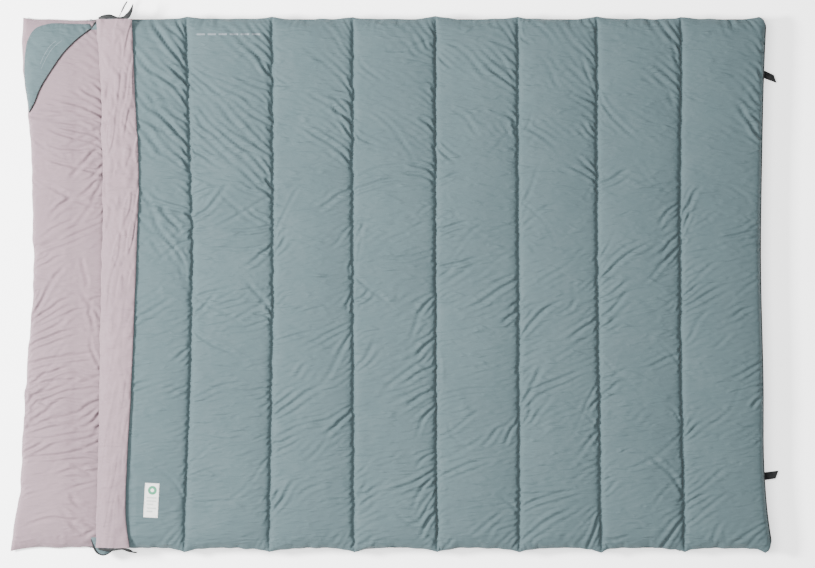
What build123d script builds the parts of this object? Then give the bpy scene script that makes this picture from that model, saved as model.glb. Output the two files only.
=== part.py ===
"""A double camp quilt (a two-sided rectangular sleeping bag), lying flat with the head of its cover turned back.

Frame: millimetres, +Z up, z = 0 on the underside. +X runs from the head to the foot and +Y to the
left of a sleeper lying on their back. The origin is the middle of the underside.

The base quilt has nine sewn channels and the cover has eight, on the same pitch. The cover is made in two
halves, which fold over each other at a channel seam, and ends at the head in a turned-back cuff.
"""

import os

from build123d import *

# Quilts: nine equal channels lie across the length of the base.
PITCH = 254.0
BASE_CHANNELS = 9
COVER_CHANNELS = 8
HEAD_HALF_CHANNELS = 4
FOOT_X = PITCH * BASE_CHANNELS / 2
HEAD_X = -FOOT_X
COVER_END_X = FOOT_X - PITCH * COVER_CHANNELS
FOLD_SEAM_X = COVER_END_X + PITCH * HEAD_HALF_CHANNELS
FOLD_GAP = 0.3
CLOTH = 1.0
FILL_GAP = 0.3
SEAM_LIP = 1.6
SEAM_HALF_W = 4.0
SHOULDER = 48.0
SIDE_TAPER = 75.0

# Heights of each quilt: underside, seams and crown.
BASE_Z = (0.0, 13.0, 38.0)
COVER_Z = (44.5, 62.0, 86.0)

# Side zips: tapes and coils stand in the planes |y| = ZIP_Y, and the coils meet at ZIP_Z.
ZIP_Y = 815.0
ZIP_Z = 37.0
TAPE_T = 0.8
COIL_T = 3.0
COIL_GAP = 1.4
ZIP_HEAD_X = -930.0
ZIP_FOOT_X = 1100.0
TAPE_TAIL = 10.0
STOP_L = 8.0
STOP_W = 5.2
STOP_BITE = 2.0
EDGE_Y = ZIP_Y - TAPE_T / 2

# Sliders, parked at the head end of the zips.
SLIDER_X = -850.0
SLIDER_L = 28.0
SLIDER_H = 13.0
SLIDER_T = 7.2
SLIDER_ROUND = 3.0
CAVITY_H = 10.0
CAVITY_T = 4.0
SLOT_T = 1.8
DIVIDER_L = 6.0
DIVIDER_T = 0.9
DIVIDER_X = -9.0
BRIDGE_L = 18.0
BRIDGE_W = 4.0
BRIDGE_RISE = 4.4
BRIDGE_BAR = 1.6
COIL_START_GAP = 3.0

# Pulls swing about an upright pin under the bridge. Angles are outward from +X.
PIVOT_OUT = 5.0
PIVOT_R = 0.9
PULL_ANGLE = {"left": 62.0, "right": 12.0}
PULL_L = 26.0
PULL_W = 9.4
PULL_T = 1.5
PULL_EYE_L = 9.0
PULL_EYE_W = 5.4
PULL_HOLE_X = 22.0
PULL_HOLE_R = 1.9
GRIP_L = 34.0
GRIP_R = 2.6
GRIP_START = 26.4
GRIP_GAP = 0.3
CHEEK_T = 1.4

# Draft tubes: stuffed rolls inside each zip, lying on the tapered edge of the base.
TUBE_R = 13.5
TUBE_Y = 792.0
TUBE_Z = 36.1
TUBE_END_GAP = 10.0

# Cuff: the turned-back head edge of the cover, leaning on the crown of the nearest channel.
CUFF_AXIS = (COVER_END_X + 0.3, COVER_Z[1] + 4.0)
CUFF_LEAN = 14.0
CUFF_NEAR = 2.0
CUFF_FAR = 82.0
CUFF_T = 8.0
CUFF_TAPE_H = 9.0
CUFF_TAPE_T = 1.2

# Corner pocket on the base lining, at the head on the left, with its piping and bar tacks.
POCKET_T = 0.9
PIPING_T = 3.2
TACK_T = 1.6
TACK_L = 12.0
TACK_W = 3.0
TACK_INSET = 6.0
TACK_AT = (0.06, 0.94)
MOUTH_FOOT_END = (-938.0, 782.0)
MOUTH_MIDDLE = (-1046.0, 700.0)
MOUTH_HEAD_END = (-1128.0, 540.0)
POCKET_HEAD = (-1131.0, 690.0)
POCKET_ROUND = (-1117.0, 752.0)
POCKET_SIDE = (-1072.0, 782.0)

# Sewn label on the cover.
LABEL_L = 106.0
LABEL_W = 44.0
LABEL_T = 0.8
LABEL_AT = (-744.0, -668.0)
LABEL_TURN = -3.0

# Hanging loops of folded webbing at the foot seam of the base.
LOOP_Y = {"left": 650.0, "right": -598.0}
LOOP_L = 44.0
LOOP_W = 25.0
LOOP_GAP = 7.4
WEBBING_T = 1.6
BINDING_T = 2.0
LOOP_ROOT_X = FOOT_X + BINDING_T + 6.0

SIDES = {"left": 1, "right": -1}
THREAD_R = 0.5
THREAD_GAP = 0.3


def box(x, y, z):
    """A box from its low and high values along each axis."""
    (x0, x1), (y0, y1), (z0, z1) = sorted(x), sorted(y), sorted(z)
    size = Box(x1 - x0, y1 - y0, z1 - z0)
    return Pos((x0 + x1) / 2, (y0 + y1) / 2, (z0 + z1) / 2) * size


def channel_face(x0, x1, heights, lip):
    """One channel seen from the side: flat below with round shoulders, and an arch above."""
    low, seam, crown = heights
    middle = (x0 + x1) / 2
    arch = ThreePointArc((x0, seam + lip), (middle, crown), (x1, seam + lip))
    right_lip = Line((x1, seam + lip), (x1, seam - lip))
    right = TangentArc((x1 - SHOULDER, low), (x1, seam - lip), tangent=(1, 0))
    floor = Line((x1 - SHOULDER, low), (x0 + SHOULDER, low))
    left = TangentArc((x0 + SHOULDER, low), (x0, seam - lip), tangent=(-1, 0))
    left_lip = Line((x0, seam - lip), (x0, seam + lip))
    return Plane.XZ * make_face([arch, right_lip, right, floor, left, left_lip])


def quilt_envelope(heights, half_width, lip):
    """The quilt seen from the foot: full height in the middle, tapering to both side edges."""
    low, seam, crown = heights
    inner = EDGE_Y - SIDE_TAPER
    half = [(half_width, seam - lip), (half_width, seam + lip), (inner, crown)]
    other = [(-y, z) for y, z in reversed(half)]
    outline = [(inner, low)] + half + other + [(-inner, low)]
    face = make_face(Polyline(*outline, close=True))
    return extrude(Plane.YZ * face, FOOT_X + 1, both=True)


def channels(first_x, count):
    """The ends of each channel, going towards the foot."""
    return [(first_x + i * PITCH, first_x + (i + 1) * PITCH) for i in range(count)]


def trimmed(heights, by):
    """Channel heights moved inwards from the underside and the crown."""
    return (heights[0] + by, heights[1], heights[2] - by)


def stuffing_shape(span, heights, gap):
    """The hollow of one channel, or what fills it: clear of the cloth and seams by a gap."""
    inset = SEAM_HALF_W + gap
    lip = SEAM_LIP / 2 - gap
    inner = trimmed(heights, CLOTH + gap)
    face = channel_face(span[0] + inset, span[1] - inset, inner, lip)
    return extrude(face, EDGE_Y, both=True) & quilt_envelope(inner, EDGE_Y - inset, lip)


def casing(spans, heights, fold_end=None):
    """The cloth round a row of channels, as (upper cloth, lower cloth), which meet at the seams."""
    body = None
    for x0, x1 in spans:
        stop = x1 - FOLD_GAP if x1 == fold_end else x1
        channel = extrude(channel_face(x0, stop, heights, SEAM_LIP), EDGE_Y, both=True)
        body = channel if body is None else body + channel
    body = body & quilt_envelope(heights, EDGE_Y, SEAM_LIP)
    for span in spans:
        body = body - stuffing_shape(span, heights, 0)
    cut = Plane.XY.offset(heights[1])
    return split(body, bisect_by=cut, keep=Keep.TOP), split(body, bisect_by=cut, keep=Keep.BOTTOM)


def threads(xs, heights):
    """Quilting threads: one along the top and one along the underside of each seam."""
    rise = SEAM_LIP + THREAD_R + THREAD_GAP
    rods = []
    for x in xs:
        for z in (heights[1] + rise, heights[1] - rise):
            rod = Rot(90, 0, 0) * Cylinder(THREAD_R, 2 * EDGE_Y - 2 * SEAM_HALF_W)
            rods.append(Pos(x, 0, z) * rod)
    return Compound(children=rods)


def laid_on_channel(outline, span, heights, near, far):
    """A patch of cloth over a channel's arch, from one distance above it to another."""
    rise = heights[2] - heights[1] - SEAM_LIP
    half = (span[1] - span[0]) / 2
    radius = (half**2 + rise**2) / (2 * rise)
    axis = Pos((span[0] + span[1]) / 2, 0, heights[2] - radius) * Rot(90, 0, 0)
    sheet = Cylinder(radius + far, 2 * ZIP_Y) - Cylinder(radius + near, 2 * ZIP_Y)
    return extrude(outline, heights[2] + 2 * far) & (axis * sheet)


def zip_tape(side, x, z):
    """A strip of zip tape in the zip's upright plane."""
    y = SIDES[side] * ZIP_Y
    return box(x, (y - TAPE_T / 2, y + TAPE_T / 2), z)


def zip_coil(side, x, above):
    """One half of the zip's coil, above or below the line where the halves meet."""
    y = SIDES[side] * ZIP_Y
    sign = 1 if above else -1
    z = (ZIP_Z + sign * COIL_GAP / 2, coil_edge(above))
    return box(x, (y - COIL_T / 2, y + COIL_T / 2), z)


def coil_edge(above):
    """The height where a tape meets its coil."""
    return ZIP_Z + (1 if above else -1) * (COIL_GAP / 2 + COIL_T)


def end_stops():
    """Stops clamped on the tapes: across both at the foot, and on the lower tapes at the head."""
    stops = []
    for side, s in SIDES.items():
        y = (s * ZIP_Y - STOP_W / 2, s * ZIP_Y + STOP_W / 2)
        foot_z = (ZIP_Z - CAVITY_H / 2, ZIP_Z + CAVITY_H / 2)
        head_z = (coil_edge(False) - STOP_BITE, ZIP_Z)
        foot_x = (ZIP_FOOT_X, ZIP_FOOT_X + STOP_L)
        head_x = (ZIP_HEAD_X - STOP_L, ZIP_HEAD_X)
        lower_slit = zip_tape(side, (HEAD_X, FOOT_X), (0, coil_edge(False)))
        upper_slit = zip_tape(side, (HEAD_X, FOOT_X), (coil_edge(True), COVER_Z[1]))
        stops.append(box(foot_x, y, foot_z) - lower_slit - upper_slit)
        stops.append(box(head_x, y, head_z) - lower_slit)
    return Compound(children=stops)


def slider(side):
    """A zip slider: two plates with flanges, joined by a thin divider, and the bridge for the pull."""
    outer = Box(SLIDER_L, SLIDER_T, SLIDER_H)
    outer = fillet(outer.edges().filter_by(Axis.Y), SLIDER_ROUND)
    cavity = Box(SLIDER_L + 2, CAVITY_T, CAVITY_H)
    slot = Box(SLIDER_L + 2, SLOT_T, SLIDER_H + 2)
    divider = Pos(DIVIDER_X, 0, 0) * Box(DIVIDER_L, CAVITY_T + 1, DIVIDER_T)
    face_y = SLIDER_T / 2
    overlap = 0.4
    arch = Pos(0, face_y + (BRIDGE_RISE - overlap) / 2, 0) * Box(BRIDGE_L, BRIDGE_RISE + overlap, BRIDGE_W)
    arch = fillet(arch.edges().filter_by(Axis.Z).group_by(Axis.Y)[-1], BRIDGE_BAR)
    gap_h = BRIDGE_RISE - BRIDGE_BAR
    gap = Pos(0, face_y + gap_h / 2, 0) * Box(BRIDGE_L - 2 * BRIDGE_BAR, gap_h, BRIDGE_W + 2)
    body = outer - cavity - slot + divider + (arch - gap)
    if SIDES[side] < 0:
        body = mirror(body, about=Plane.XZ)
    return Pos(SLIDER_X, SIDES[side] * ZIP_Y, ZIP_Z) * body


def placed_on_pivot(shape, side):
    """Puts a piece drawn along +X from the pivot onto its slider, at the pull's resting angle."""
    s = SIDES[side]
    turn = Rot(0, 0, s * PULL_ANGLE[side])
    return Pos(SLIDER_X, s * (ZIP_Y + PIVOT_OUT), ZIP_Z) * turn * shape


def pull(side):
    """A flat zip pull with a pin in its eye, which sits under the bridge, and a hole for the grip."""
    plate = Pos(PULL_L / 2 - PIVOT_R, 0, 0) * Box(PULL_L, PULL_T, PULL_W)
    plate = fillet(plate.edges().filter_by(Axis.Y), 2.0)
    eye_x = (-PIVOT_R - 1, PIVOT_R + PULL_EYE_L)
    eye = box(eye_x, (-PULL_T, PULL_T), (-PULL_EYE_W / 2, PULL_EYE_W / 2))
    pin = Cylinder(PIVOT_R, PULL_EYE_W + 2)
    hole = Pos(PULL_HOLE_X, 0, 0) * Rot(90, 0, 0) * Cylinder(PULL_HOLE_R, PULL_T + 2)
    return placed_on_pivot(plate - eye - hole + pin, side)


def grip(side):
    """The moulded cord grip on the end of a pull, with a neck through the pull's hole."""
    neck_r = PULL_HOLE_R - GRIP_GAP
    bar = Pos(GRIP_START + GRIP_L / 2, 0, 0) * Rot(0, 90, 0) * Cylinder(GRIP_R, GRIP_L)
    bar = fillet(bar.edges(), GRIP_R / 2)
    reach = PULL_T / 2 + GRIP_GAP + CHEEK_T
    neck = Pos(PULL_HOLE_X, 0, 0) * Rot(90, 0, 0) * Cylinder(neck_r, 2 * reach)
    cheek_x = (PULL_HOLE_X - neck_r, GRIP_START + GRIP_R)
    cheeks = [box(cheek_x, (s * (reach - CHEEK_T), s * reach), (-neck_r, neck_r)) for s in (1, -1)]
    return placed_on_pivot(bar + neck + cheeks, side)


def draft_tube(side):
    """A stuffed roll just inside the zip, which keeps draughts out."""
    start, end = ZIP_HEAD_X + TUBE_END_GAP, FOOT_X - TUBE_END_GAP
    tube = Rot(0, 90, 0) * Cylinder(TUBE_R, end - start)
    tube = fillet(tube.edges(), TUBE_R * 2 / 3)
    return Pos((start + end) / 2, SIDES[side] * TUBE_Y, TUBE_Z) * tube


def cuff_frame(shape):
    """Places a piece drawn with u along X and v along Z onto the leaning cuff."""
    x, z = CUFF_AXIS
    return Pos(x, 0, z) * Rot(0, -CUFF_LEAN, 0) * shape


def cuff_pieces():
    """The cuff's outer cloth below, its facing above, and the thin wadding between them."""
    def slab(inset):
        u = (CUFF_NEAR + inset, CUFF_FAR - inset)
        v = (CUFF_NEAR + inset, CUFF_NEAR + CUFF_T - inset)
        return box(u, (inset - EDGE_Y, EDGE_Y - inset), v)

    rounded = fillet(slab(0).edges().filter_by(Axis.Y), CUFF_T / 3)
    ring = rounded - slab(CLOTH)
    middle = Plane.XY.offset(CUFF_NEAR + CUFF_T / 2)
    facing = split(ring, bisect_by=middle, keep=Keep.TOP)
    shell = split(ring, bisect_by=middle, keep=Keep.BOTTOM)
    return cuff_frame(shell), cuff_frame(facing), cuff_frame(slab(CLOTH + FILL_GAP))


def cuff_tape(side):
    """The free end of the upper zip tape on the cuff's side edge, standing up while the cuff is turned back."""
    y = SIDES[side] * EDGE_Y
    v0 = CUFF_NEAR + CUFF_T / 2
    u = (CUFF_NEAR + 2, CUFF_FAR - 2)
    return cuff_frame(box(u, (y, y + SIDES[side] * CUFF_TAPE_T), (v0, v0 + CUFF_TAPE_H)))


def pocket_pieces():
    """The corner pocket's panel, the piping on its open edge, and a bar tack at each end of it."""
    span = (HEAD_X, HEAD_X + PITCH)
    mouth = ThreePointArc(MOUTH_FOOT_END, MOUTH_MIDDLE, MOUTH_HEAD_END)
    head = Line(MOUTH_HEAD_END, POCKET_HEAD)
    corner = ThreePointArc(POCKET_HEAD, POCKET_ROUND, POCKET_SIDE)
    side = Line(POCKET_SIDE, MOUTH_FOOT_END)
    outline = make_face([mouth, head, corner, side])
    panel = laid_on_channel(outline, span, BASE_Z, FILL_GAP, FILL_GAP + POCKET_T)

    band = make_face(offset(mouth, PIPING_T, side=Side.LEFT, closed=True)) - outline
    piping = laid_on_channel(band, span, BASE_Z, FILL_GAP, FILL_GAP + PIPING_T)

    over = FILL_GAP + POCKET_T + FILL_GAP
    tacks = []
    for at in TACK_AT:
        place = Location(mouth @ at, (0, 0, mouth.tangent_angle_at(at)))
        patch = place * Pos(0, -TACK_INSET) * Rectangle(TACK_L, TACK_W)
        tacks.append(laid_on_channel(patch, span, BASE_Z, over, over + TACK_T))
    return panel, piping, Compound(children=tacks)


def label():
    """The sewn label on the cover's first channel from the head."""
    outline = Pos(*LABEL_AT) * Rot(0, 0, LABEL_TURN) * Rectangle(LABEL_W, LABEL_L)
    span = (COVER_END_X, COVER_END_X + PITCH)
    return laid_on_channel(outline, span, COVER_Z, FILL_GAP, FILL_GAP + LABEL_T)


def foot_binding():
    """The bound seam that closes the foot, from the base's edge up to the cover's."""
    z = (BASE_Z[1] - SEAM_LIP, COVER_Z[1] + SEAM_LIP)
    return box((FOOT_X, FOOT_X + BINDING_T), (-EDGE_Y, EDGE_Y), z)


def hanging_loop(side):
    """A flat loop of webbing that points out from the foot, with a slot through its width."""
    height = LOOP_GAP + 2 * WEBBING_T
    ring = SlotOverall(LOOP_L, height) - SlotOverall(LOOP_L - 2 * WEBBING_T, LOOP_GAP)
    strap = extrude(Plane.XZ * ring, LOOP_W / 2, both=True)
    middle_x = LOOP_ROOT_X - height / 2 + LOOP_L / 2
    return Pos(middle_x, LOOP_Y[side], BASE_Z[1]) * strap


def quilt_nodes():
    """Cloth, thread and wadding of the base and of the two halves of the cover."""
    base_spans = channels(HEAD_X, BASE_CHANNELS)
    cover_spans = channels(COVER_END_X, COVER_CHANNELS)
    halves = {
        "head": (cover_spans[:HEAD_HALF_CHANNELS], FOLD_SEAM_X),
        "foot": (cover_spans[HEAD_HALF_CHANNELS:], None),
    }
    nodes = {}
    nodes["base_lining"], nodes["base_shell"] = casing(base_spans, BASE_Z)
    nodes["base_thread"] = threads([x0 for x0, _ in base_spans[1:]], BASE_Z)
    for i, span in enumerate(base_spans, 1):
        nodes[f"base_fill_{i}"] = stuffing_shape(span, BASE_Z, FILL_GAP)
    for name, (spans, fold_end) in halves.items():
        upper, lower = casing(spans, COVER_Z, fold_end)
        nodes[f"cover_{name}_shell"], nodes[f"cover_{name}_lining"] = upper, lower
        nodes[f"cover_{name}_thread"] = threads([x0 for x0, _ in spans[1:]], COVER_Z)
    for i, span in enumerate(cover_spans, 1):
        nodes[f"cover_fill_{i}"] = stuffing_shape(span, COVER_Z, FILL_GAP)
    return nodes


def zip_nodes(side):
    """The tapes, coils, slider, pull and draft tube of one side zip."""
    base_z = (BASE_Z[1] - SEAM_LIP, coil_edge(False))
    cover_z = (coil_edge(True), COVER_Z[1] + SEAM_LIP)
    coil_start = SLIDER_X + SLIDER_L / 2 + COIL_START_GAP
    head_x = (COVER_END_X, FOLD_SEAM_X - FOLD_GAP)
    foot_x = (FOLD_SEAM_X, FOOT_X)
    return {
        f"base_zip_tape_{side}": zip_tape(side, (ZIP_HEAD_X - STOP_L - TAPE_TAIL, FOOT_X), base_z),
        f"base_zip_coil_{side}": zip_coil(side, (ZIP_HEAD_X, ZIP_FOOT_X), above=False),
        f"cover_head_zip_tape_{side}": zip_tape(side, head_x, cover_z),
        f"cover_head_zip_coil_{side}": zip_coil(side, (coil_start, head_x[1]), above=True),
        f"cover_foot_zip_tape_{side}": zip_tape(side, foot_x, cover_z),
        f"cover_foot_zip_coil_{side}": zip_coil(side, (FOLD_SEAM_X, ZIP_FOOT_X), above=True),
        f"cuff_zip_tape_{side}": cuff_tape(side),
        f"draft_tube_{side}": draft_tube(side),
        f"zip_slider_{side}": slider(side),
        f"zip_pull_{side}": pull(side),
        f"pull_grip_{side}": grip(side),
    }


def build():
    """Every node of the quilt, by name."""
    nodes = quilt_nodes()
    for side in SIDES:
        nodes.update(zip_nodes(side))
        nodes[f"hanging_loop_{side}"] = hanging_loop(side)
    nodes["zip_end_stops"] = end_stops()
    nodes["cuff_shell"], nodes["cuff_facing"], nodes["cuff_wadding"] = cuff_pieces()
    nodes["corner_pocket"], nodes["pocket_piping"], nodes["pocket_bar_tacks"] = pocket_pieces()
    nodes["sewn_label"] = label()
    nodes["foot_binding"] = foot_binding()
    return nodes


os.makedirs("parts", exist_ok=True)
for node_name, node_shape in build().items():
    export_step(node_shape, f"parts/{node_name}.step")
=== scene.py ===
"""Camp quilt: cloth, stitching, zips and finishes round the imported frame.
Metres, +X from head to foot, +Y the sleeper's left, +Z up."""
import math

import bpy
import numpy as np
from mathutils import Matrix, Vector


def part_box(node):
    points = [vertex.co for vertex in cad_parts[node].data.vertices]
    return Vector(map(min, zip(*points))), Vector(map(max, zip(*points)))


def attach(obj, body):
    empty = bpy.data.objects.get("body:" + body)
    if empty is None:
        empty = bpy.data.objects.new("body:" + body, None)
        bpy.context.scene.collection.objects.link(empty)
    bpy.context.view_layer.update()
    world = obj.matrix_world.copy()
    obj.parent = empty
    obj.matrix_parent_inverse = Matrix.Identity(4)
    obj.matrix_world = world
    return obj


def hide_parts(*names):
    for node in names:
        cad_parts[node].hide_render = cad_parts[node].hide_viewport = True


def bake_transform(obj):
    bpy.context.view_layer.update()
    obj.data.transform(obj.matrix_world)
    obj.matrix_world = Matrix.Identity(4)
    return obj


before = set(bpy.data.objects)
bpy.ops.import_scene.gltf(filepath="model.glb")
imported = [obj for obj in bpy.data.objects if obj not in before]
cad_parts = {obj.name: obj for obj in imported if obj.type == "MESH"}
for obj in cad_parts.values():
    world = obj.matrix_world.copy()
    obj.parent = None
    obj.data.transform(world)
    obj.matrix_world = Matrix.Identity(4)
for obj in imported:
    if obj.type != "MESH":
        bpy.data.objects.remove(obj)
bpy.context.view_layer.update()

# Where things are, from the frame
HEAD_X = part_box("base_shell")[0][0]
FOOT_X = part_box("base_shell")[1][0]
COVER_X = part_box("cover_head_shell")[0][0]
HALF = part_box("cover_head_shell")[1][1]
PITCH = (FOOT_X - HEAD_X) / 9
BASE_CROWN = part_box("base_lining")[1][2]
COVER_LOW, COVER_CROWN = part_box("cover_head_lining")[0][2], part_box("cover_head_shell")[1][2]
BASE_SEAM, COVER_SEAM = 0.013, 0.062  # height of each quilt's seams
LIP = 0.0008  # cloth's height at a sewn edge
TAPER = 0.070  # how far in from a side the stuffing is full
ROWS, CELLS = 401, 50  # the cover's grid: rows across it, and columns in each channel
INNER_ROWS, INNER_CELLS = 181, 26  # the grid of the faces inside
HEAD_CELLS = 56
UNDER_ROWS, UNDER_CELLS = 163, 22
ALL = (slice(None),)
UP = np.array([0.0, 0.0, 1.0])
SIDES = ("left", "right")


# ---------------------------------------------------------------- mesh helpers
def link(obj):
    bpy.context.scene.collection.objects.link(obj)
    return obj


def mesh_piece(name, points, faces, material):
    mesh = bpy.data.meshes.new(name)
    mesh.from_pydata([tuple(p) for p in points], [], [tuple(f) for f in faces])
    mesh.materials.append(material)
    mesh.polygons.foreach_set("use_smooth", [True] * len(mesh.polygons))
    mesh.update()
    return link(bpy.data.objects.new(name, mesh))


def grid_faces(nx, ny, flip=False):
    index = np.arange(nx * ny).reshape(nx, ny)
    corners = [index[:-1, :-1], index[1:, :-1], index[1:, 1:], index[:-1, 1:]]
    if flip:
        corners.reverse()
    return np.stack([c.ravel() for c in corners], axis=1)


def grid_piece(name, cloth, material, flip=False):
    """A piece from a (3, columns, rows) array of points."""
    nx, ny = cloth.shape[1:]
    return mesh_piece(name, cloth.reshape(3, -1).T.tolist(), grid_faces(nx, ny, flip).tolist(), material)


def ease(t):
    t = np.clip(t, 0, 1)
    return t * t * (3 - 2 * t)


def curve_through(at, places, values):
    """A smooth run of values through a few places, by Catmull-Rom tangents."""
    at = np.asarray(at, float)
    places, values = np.asarray(places, float), np.asarray(values, float)
    slope = np.gradient(values, places)
    i = np.clip(np.searchsorted(places, at) - 1, 0, len(places) - 2)
    gap = places[i + 1] - places[i]
    t = np.clip((at - places[i]) / gap, 0, 1)
    h00, h10 = 2 * t**3 - 3 * t**2 + 1, t**3 - 2 * t**2 + t
    h01, h11 = -2 * t**3 + 3 * t**2, t**3 - t**2
    return h00 * values[i] + h10 * gap * slope[i] + h01 * values[i + 1] + h11 * gap * slope[i + 1]


def cloud(rng, x, y, size, lean=0.0, stretch=1.0):
    """Smooth random values from about -1 to 1 with features of that size, drawn out along a direction
    that leans from +X."""
    total = np.zeros(np.broadcast(x, y).shape)
    c, s = math.cos(lean), math.sin(lean)
    u, v = (x * c + y * s) / stretch, -x * s + y * c
    for _ in range(14):
        angle = rng.uniform(0, 2 * math.pi)
        rate = 2 * math.pi / size * rng.uniform(0.6, 1.5)
        total += np.sin(rate * (u * math.cos(angle) + v * math.sin(angle)) + rng.uniform(0, 2 * math.pi))
    return total / 5.3


# ---------------------------------------------------------------- the cloth simulation
def edge_lengths(flat, start, strain, a, b):
    """Cut length of the cloth between two sets of grid points: its length on the stuffed quilt plus what was
    gathered in."""
    d = start[ALL + b] - start[ALL + a]
    f = flat[ALL + b] - flat[ALL + a]
    e = (strain[ALL + b] + strain[ALL + a]) / 2
    extra = 2 * (e[0] * f[0] ** 2 + e[1] * f[1] ** 2 + 2 * e[2] * f[0] * f[1])
    return np.sqrt(np.maximum((d**2).sum(0) + extra, 1e-10))


BEND_STIFFNESS, BEND_SLACK, STUFFING, LIFT = 0.15, 0.965, 0.003, 0.00001
STEPS, SETTLING = 160, 0.7  # rounds of the simulation, and the share after which it is damped more


def link_sets(nx, ny):
    """Pairs of grid slices, with their stiffness: threads along, across and on the bias, then wider links that
    resist sharp bends."""
    every = slice(None)
    sets = []
    for first in (0, 1):
        left, right = slice(first, nx - 1, 2), slice(first + 1, nx, 2)
        sets.append(((left, every), (right, every), 1.0))
        sets.append(((left, slice(0, ny - 1)), (right, slice(1, ny)), 0.5))
        sets.append(((left, slice(1, ny)), (right, slice(0, ny - 1)), 0.5))
        sets.append(((every, slice(first, ny - 1, 2)), (every, slice(first + 1, ny, 2)), 1.0))
    for first in range(4):
        sets.append(((slice(first, nx - 2, 4), every), (slice(first + 2, nx, 4), every), BEND_STIFFNESS))
        sets.append(((every, slice(first, ny - 2, 4)), (every, slice(first + 2, ny, 4)), BEND_STIFFNESS))
    return sets


def simulate(start, flat, strain, ripple, held, low, high):
    """Cloth sewn down where held is true and gathered by strain, pushed up by its stuffing between low and
    high. ripple is the slight waviness that it starts from."""
    nx, ny = start.shape[1:]
    free = np.where(held, 0.0, 1.0)
    links = []
    for a, b, stiffness in link_sets(nx, ny):
        bends = stiffness == BEND_STIFFNESS
        length = edge_lengths(flat, start, strain, a, b) * (BEND_SLACK if bends else 1.0)
        both = free[a] + free[b]
        share = stiffness / np.maximum(both, 1.0)
        links.append((a, b, length.astype(np.float32), (share * free[a]).astype(np.float32),
                      (share * free[b]).astype(np.float32), bends))
    free = free.astype(np.float32)
    ground = start[2].astype(np.float32)
    points = start.astype(np.float32)
    points[2] += free * ripple.astype(np.float32)
    old = points.copy()
    for step in range(STEPS):
        move = (points - old) * (0.94 if step < STEPS * SETTLING else 0.8)
        old = points.copy()
        points += move * free
        points[2] += free * (LIFT - STUFFING * (points[2] - ground))
        for a, b, length, share_a, share_b, bends in links:
            pa, pb = points[ALL + a], points[ALL + b]
            d = pb - pa
            now = np.sqrt((d * d).sum(0)) + 1e-9
            off = (now - length) / now
            if bends:
                off = np.minimum(off, 0)
            d *= off
            pa += d * share_a
            pb -= d * share_b
        np.clip(points[2], low, high, out=points[2])
    return points.astype(float)


# ---------------------------------------------------------------- the quilt's own shape
SEAM_BOW = {
    # how far each of the cover's seams stands off straight at the left side, the middle and the right side
    1: (-0.003, 0.016, -0.009), 2: (0.008, 0.011, -0.001), 3: (0.004, 0.004, 0.007), 4: (0.005, 0.005, 0.009),
    5: (0.004, 0.007, 0.010), 6: (-0.006, -0.003, 0.009), 7: (0.001, -0.002, 0.011),
}


def channel_columns(first, count, cells):
    """Columns over count channels from x = first, closer together by the seams, and the place of each across
    its channel."""
    t = np.linspace(0, 1, cells + 1)[:-1]
    t = t - 0.085 * np.sin(2 * math.pi * t)
    across = np.tile(t, count)
    x = first + (np.repeat(np.arange(count), cells) + across) * PITCH
    return np.append(x, first + count * PITCH), np.append(across, 1.0)


def side_rise(y):
    """How full the stuffing is near the sides: 1 inside, falling to 0 at the side seam."""
    t = np.clip((HALF - np.abs(y)) / TAPER, 0, 1)
    return (1 - (1 - t) ** 2.4) ** 0.8


def arch(across):
    """A channel's fullness across it: a broad crown, and a narrow pinch at each seam."""
    to_seam = np.minimum(across, 1 - across) * PITCH
    return 0.58 * (4 * across * (1 - across)) ** 0.8 + 0.42 * (1 - np.exp(-to_seam / 0.0042))


def folds(strain, amount, degrees):
    """Adds spare cloth that makes folds run along a direction, given from +X towards +Y."""
    a = math.radians(degrees)
    nx, ny = -math.sin(a), math.cos(a)
    strain[0] += amount * nx * nx
    strain[1] += amount * ny * ny
    strain[2] += amount * nx * ny


def outline(x, y, head, foot):
    """How far a quilt's edges stand off the plain rectangle: (x shift, y shift) at each point."""
    from_head = np.clip(1 - (x - x.min()) / PITCH, 0, 1)
    from_foot = np.clip(1 - (x.max() - x) / PITCH, 0, 1)
    dx = from_head * head(y) + from_foot * foot(y)
    place = (x - x.min()) / PITCH
    to_seam = np.abs(place - np.round(place)) * PITCH
    pucker = 0.001 + np.where(y > 0, 0.008, 0.014) * np.exp(-to_seam / 0.036)
    rng = np.random.default_rng(5)
    uneven = np.where(y > 0, cloud(rng, x, 0 * y, 0.09), cloud(rng, x, 0 * y, 0.06))
    dy = np.sign(y) * np.exp(-(HALF - np.abs(y)) / 0.03) * (pucker + 0.0022 * uneven)
    return dx, dy


CORNER_RADIUS = 0.024


def foot_line(y):
    """The foot edge's gentle waist and its drawn-out corners."""
    waist = curve_through(y, [-0.815, -0.71, -0.60, -0.30, 0.08, 0.40, 0.66, 0.815],
                          [0.027, 0.012, 0.003, -0.001, -0.009, -0.005, 0.001, 0.008])
    past = np.clip((np.abs(y) - HALF + CORNER_RADIUS) / CORNER_RADIUS, 0, 1)
    return waist - CORNER_RADIUS * (1 - np.sqrt(1 - 0.98 * past ** 2))


def head_line(y):
    """The base's head edge, fullest at its two corners."""
    plain = curve_through(y, [-0.815, -0.75, -0.66, -0.50, -0.25, 0.0, 0.20, 0.40, 0.55, 0.70, 0.815],
                          [-0.042, -0.032, -0.015, -0.006, 0.010, 0.028, 0.026, 0.022, 0.010, -0.005, -0.003])
    uneven = cloud(np.random.default_rng(6), y, 0 * y, 0.07)
    return plain + 0.0022 * uneven * np.clip((HALF - np.abs(y)) / 0.05, 0, 1)


def straight(y):
    return 0 * y


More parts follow.
